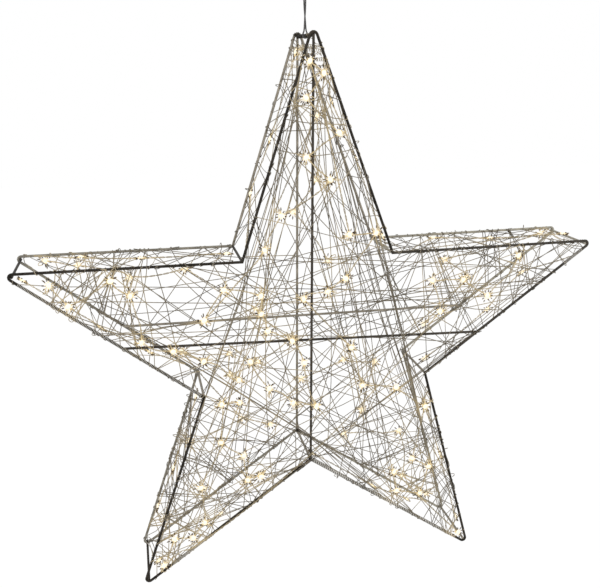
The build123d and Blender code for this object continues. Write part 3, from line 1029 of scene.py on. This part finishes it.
strands_piece("notch_lead_end", [wrapped_end], WRAP_WIRE, brown_wrap_and_painted_glare)

rod_windings = []
for index, first, last, pitch, strand_count in WOUND_STRETCHES:
    stretch = rod_stretch(index, first, last)
    turns = (stretch[1] - stretch[0]).length / pitch
    for strand in range(strand_count):
        rod_windings.append(bound(stretch, ROD_RADIUS + ROD_WINDING_WIRE / 2, turns,
                                  strand * ROD_WINDING_WIRE / pitch))
# Wire wound round front rods, paler with painted glints
strands_piece("rod_windings", rod_windings, ROD_WINDING_WIRE, wire_with_painted_glint)


def rod_curl(rng, index, share):
    """A loop of slack wire that stands out from a front rod."""
    start, end = LEGS[index]
    way, out = leg_way(index), leg_outward(index)
    root = start.lerp(end, share) + out * ROD_RADIUS / 2
    high, wide = rng.uniform(*ROD_CURL_HEIGHT), rng.uniform(*ROD_CURL_WIDTH)
    lean = rng.uniform(*ROD_CURL_LEAN)
    points = []
    for k in range(CURL_STEPS + 1):
        turn = math.tau * k / CURL_STEPS
        rise = (1 - math.cos(turn)) / 2
        aside = wide / 2 * math.sin(turn) + lean * rise
        points.append(solid(root + out * high * rise + way * aside, -HALF_DEPTH))
    return points


curl_rng = random.Random(CURL_SEED)
strands_piece("rod_curls", [rod_curl(curl_rng, *at) for at in ROD_CURL_PLACES], LEAD_WIRE,
              champagne_wire)

# The iron frame keeps its CAD shapes. What isn't listed here is black.
FRAME_FINISHES = [
    (lighter_black_iron, ["front_point_right", "front_upright", "front_crossbar"]),
    (wound_iron, ["back_point_top", "back_upright", "back_crossbar", "strut_lower_right",
                  "strut_bottom_right", "strut_bottom", "strut_lower_left"]),
    # Painted light: the right side of the back frame lighter
    (painted_light_wound_iron, ["back_point_right", "back_point_bottom_right", "strut_upper_right",
                       "strut_right"]),
    # Painted shade: the left side of the back frame darker
    (painted_shade_wound_iron, ["back_point_left", "back_point_bottom_left"]),
]
finish_of = {name: material for material, names in FRAME_FINISHES for name in names}
for name, node in nodes.items():
    if name.startswith("strut_") or "_point_" in name or name.endswith(("upright", "crossbar")):
        node.data.materials.clear()
        node.data.materials.append(finish_of.get(name, black_iron))


# Hanging cord
def cord_curve(name, route, diameter):
    curve = tube_curve(name, diameter, CORD_ROUNDNESS)
    curve.resolution_u = CORD_SMOOTHNESS
    spline = add_spline(curve, "NURBS", [Vector(p) * MM for p in route])
    spline.order_u = 3
    spline.use_endpoint_u = True
    curve.materials.append(grey_thread)
    return added(name, curve)


def mirrored(route):
    """The way back along the other side."""
    return [(-x, -y, z) for x, y, z in reversed(route)]


strand = [(-HALF_SPACING, 0, KNOT_BOTTOM)]
for step in range(TWIST_STEPS + 1):
    turn = math.pi * (1 - step / TWIST_STEPS)
    strand.append((HALF_SPACING * math.cos(turn), HALF_SPACING * math.sin(turn),
                   KNOT_BOTTOM - STRAIGHT_END - TWIST_LENGTH * step / TWIST_STEPS))
strand += [(CORD_ARC, 0, STRUT_Z + SPREAD_HEIGHT), (CORD_ARC, 0, STRUT_Z - CORD_ARC)]
strand += mirrored(strand)
doubled_cord = cord_curve("doubled_cord", strand, CORD_DIAMETER)
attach(doubled_cord, "cord")
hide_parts("hanging_cord")

stem, shoulder, crown = (KNOT_TOP + rise for rise in TOP_LOOP_RISES)
loop_side = [(HALF_SPACING, 0, KNOT_TOP), (HALF_SPACING, 0, stem),
             (TOP_LOOP_HALF_WIDTH, 0, shoulder), (TOP_LOOP_HALF_WIDTH, 0, crown)]
top_loop = cord_curve("top_loop", loop_side + mirrored(loop_side), CORD_DIAMETER)
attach(top_loop, "hanger")
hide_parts("hanging_loop")


def knot_wraps():
    """The knot: the cord wound a few times round itself, narrower at both ends."""
    curve = tube_curve("knot_wraps", KNOT_WIRE, KNOT_ROUNDNESS)
    places = []
    for k in range(KNOT_STEPS + 1):
        t = k / KNOT_STEPS
        turn = math.tau * KNOT_TURNS * t
        reach = KNOT_REACH - KNOT_TAPER * (2 * t - 1) ** 4
        height = KNOT_BOTTOM + KNOT_EDGE + (KNOT_TOP - KNOT_BOTTOM - 2 * KNOT_EDGE) * t
        places.append((reach * math.cos(turn) * MM, reach * math.sin(turn) * MM, height * MM))
    add_spline(curve, "POLY", places)
    curve.materials.append(grey_thread)
    piece = added("knot_wraps", curve)
    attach(piece, "hanger")
    return piece


wraps = knot_wraps()
knot = nodes["cord_knot"]
knot.data.materials.clear()
knot.data.materials.append(grey_thread)

# Room: pale floor, white backdrop and soft light, in metres
SKY_COLOUR = (0.95, 0.97, 1.0, 1.0)
SKY_STRENGTH = 0.62
BACKDROP_COLOUR = (1.0, 1.0, 1.0, 1.0)
FLOOR_HALF_WIDTH = 6.0
FLOOR_HEIGHT = -1.05
FLOOR_COLOUR = (0.93, 0.93, 0.93, 1.0)
FLOOR_ROUGHNESS = 0.9
FLOOR_GLOW = 1.06
FLOOR_GLOW_SHARE = 0.9
STAR_MIDDLE = (0, 0, -0.35)


def seen_directly(tree):
    """1 for rays that show the backdrop itself, straight or in metal."""
    rays = tree.nodes.new("ShaderNodeLightPath")
    value = rays.outputs["Is Camera Ray"]
    for other in ("Is Glossy Ray", "Is Transmission Ray"):
        most = tree.nodes.new("ShaderNodeMath")
        most.operation = "MAXIMUM"
        tree.links.new(value, most.inputs[0])
        tree.links.new(rays.outputs[other], most.inputs[1])
        value = most.outputs[0]
    return value


def mix_into(tree, output, share, first, second):
    """Lets an output show one shader or the other, by share."""
    either = tree.nodes.new("ShaderNodeMixShader")
    tree.links.new(share, either.inputs["Fac"])
    tree.links.new(first.outputs[0], either.inputs[1])
    tree.links.new(second.outputs[0], either.inputs[2])
    tree.links.new(either.outputs[0], tree.nodes[output].inputs["Surface"])


def room():
    world = bpy.data.worlds.new("room")
    bpy.context.scene.world = world
    world.use_nodes = True
    tree = world.node_tree
    soft = tree.nodes["Background"]
    soft.inputs["Color"].default_value = SKY_COLOUR
    soft.inputs["Strength"].default_value = SKY_STRENGTH
    white = tree.nodes.new("ShaderNodeBackground")
    white.inputs["Color"].default_value = BACKDROP_COLOUR
    white.inputs["Strength"].default_value = 1.0
    mix_into(tree, "World Output", seen_directly(tree), soft, white)

    mesh = bmesh.new()
    bmesh.ops.create_grid(mesh, x_segments=1, y_segments=1, size=FLOOR_HALF_WIDTH,
                          matrix=Matrix.Translation((0, 0, FLOOR_HEIGHT)))
    data = bpy.data.meshes.new("floor")
    mesh.to_mesh(data)
    mesh.free()
    floor = added("floor", data)
    pale, tree, paint = new_material("pale_floor")
    paint.inputs["Base Color"].default_value = FLOOR_COLOUR
    paint.inputs["Roughness"].default_value = FLOOR_ROUGHNESS
    paint.inputs["Specular IOR Level"].default_value = 0.0
    light = tree.nodes.new("ShaderNodeEmission")
    light.inputs["Strength"].default_value = FLOOR_GLOW
    part = tree.nodes.new("ShaderNodeMath")
    part.operation = "MULTIPLY"
    part.inputs[1].default_value = FLOOR_GLOW_SHARE
    tree.links.new(seen_directly(tree), part.inputs[0])
    mix_into(tree, "Material Output", part.outputs[0], paint, light)
    data.materials.append(pale)


def softbox(name, place, size, power):
    """A square lamp that faces the middle of the star."""
    lamp = bpy.data.lights.new(name, "AREA")
    lamp.size = size
    lamp.energy = power
    thing = added(name, lamp)
    thing.location = place
    toward = Vector(STAR_MIDDLE) - Vector(place)
    thing.rotation_euler = toward.to_track_quat("-Z", "Y").to_euler()


room()
softbox("key_light", place=(-1.1, -1.5, 0.9), size=1.4, power=22.0)
softbox("fill_light", place=(1.4, -1.1, 0.2), size=1.2, power=9.0)
